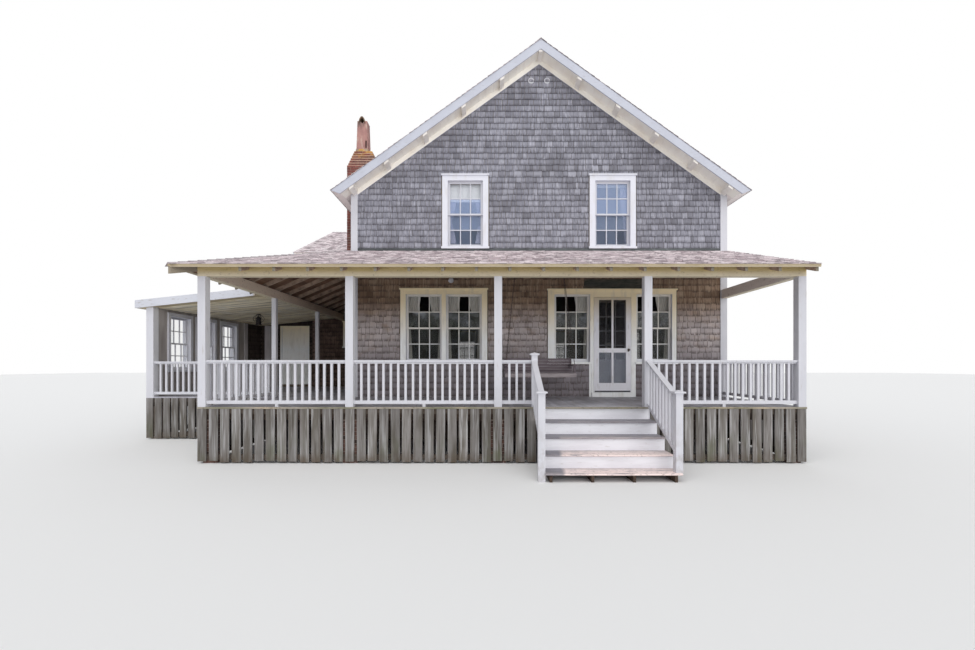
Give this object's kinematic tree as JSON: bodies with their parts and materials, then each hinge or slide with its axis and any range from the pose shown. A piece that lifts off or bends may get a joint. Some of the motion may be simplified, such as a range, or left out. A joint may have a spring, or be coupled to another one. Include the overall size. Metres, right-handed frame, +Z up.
{
  "type": "beach house",
  "caption": "Two-storey shingled beach house with a wrap-round porch, porch swing, front steps, brick chimney, rear wing and open garden room.",
  "frame": {"origin": "on the ground at the outer face of the front wall, on the centre line of the front gable", "axes": "+X to the right as seen from the front, +Y from the front to the back, +Z up"},
  "size_m": [13.615, 15.35, 8.7362],
  "materials": {
    "brickwork": "red brick laid in mortar, weathered",
    "fired_clay": "unglazed fired clay, rough",
    "framing_wood": "sawn, unpainted",
    "deck_paint": "grey deck paint, worn",
    "weathered_board": "bare boards gone grey",
    "white_paint": "white paint, satin",
    "cream_paint": "cream paint, satin",
    "roof_shingles": "mineral-faced shingles, matte, blotched",
    "wall_shingles": "sawn cedar shingles gone grey",
    "window_pane": "clear",
    "insect_mesh": "fine woven insect mesh",
    "black_iron": "black, dull",
    "dark_paint": "very dark green paint, flat"
  },
  "bodies": {
    "house": {"foundation": "brickwork", "deck_frame": "framing_wood", "deck": "deck_paint", "skirt_front": "weathered_board", "skirt_sides": "weathered_board", "stair_stringers": "framing_wood", "stair_treads": "deck_paint", "stair_risers": "white_paint", "newels": "white_paint", "stair_rails": "white_paint", "porch_posts": "white_paint", "beam_front": "cream_paint", "beam_sides": "cream_paint", "railings_front": "white_paint", "railings_side": "white_paint", "porch_rafters": "cream_paint", "porch_roof_front": "roof_shingles", "porch_roof_left": "roof_shingles", "front_wall_left": "wall_shingles", "front_wall_right": "wall_shingles", "front_wall_above": "wall_shingles", "left_wall": "wall_shingles", "right_wall": "wall_shingles", "back_wall": "wall_shingles", "ground_floor": "framing_wood", "upper_floor": "framing_wood", "main_roof_left": "roof_shingles", "main_roof_right": "roof_shingles", "rake_trim": "white_paint", "roof_outlookers": "white_paint", "corner_boards": "white_paint", "chimney": "brickwork", "chimney_flue": "fired_clay", "window_casings": "white_paint", "door_surround": "white_paint", "front_sashes": "white_paint", "side_sashes": "white_paint", "window_glass": "window_pane", "door_frame": "white_paint", "swing_beam": "framing_wood", "gable_vents": "white_paint", "name_board": "dark_paint", "porch_light": "white_paint", "lantern": "black_iron", "garden_wall": "wall_shingles", "garden_roof": "roof_shingles", "eave_trim": "white_paint", "wing_front_wall": "wall_shingles", "wing_gable_wall": "wall_shingles", "wing_roof": "roof_shingles", "garden_door": "white_paint"},
    "screen_door_leaf": {"screen_door": "white_paint", "screen_panes": "insect_mesh", "screen_knob": "black_iron"},
    "front_door_leaf": {"front_door": "white_paint", "front_door_glass": "window_pane", "front_door_knob": "black_iron"},
    "porch_swing": {"swing_bench": "weathered_board", "swing_chains": "black_iron"}
  },
  "joints": [
    {"name": "screen_door_hinge", "type": "hinge", "parent": "house", "child": "screen_door_leaf", "pos_m": [1.231, -0.036, 2], "axis": [0, 0, -1], "range_deg": [0, 100]},
    {"name": "front_door_hinge", "type": "hinge", "parent": "house", "child": "front_door_leaf", "pos_m": [1.231, 0.156, 2], "axis": [0, 0, 1], "range_deg": [0, 100]},
    {"name": "swing_hinge", "type": "hinge", "parent": "house", "child": "porch_swing", "pos_m": [-0.13, -1.18, 3.6343], "axis": [1, 0, 0], "range_deg": [-12, 12]}
  ]
}
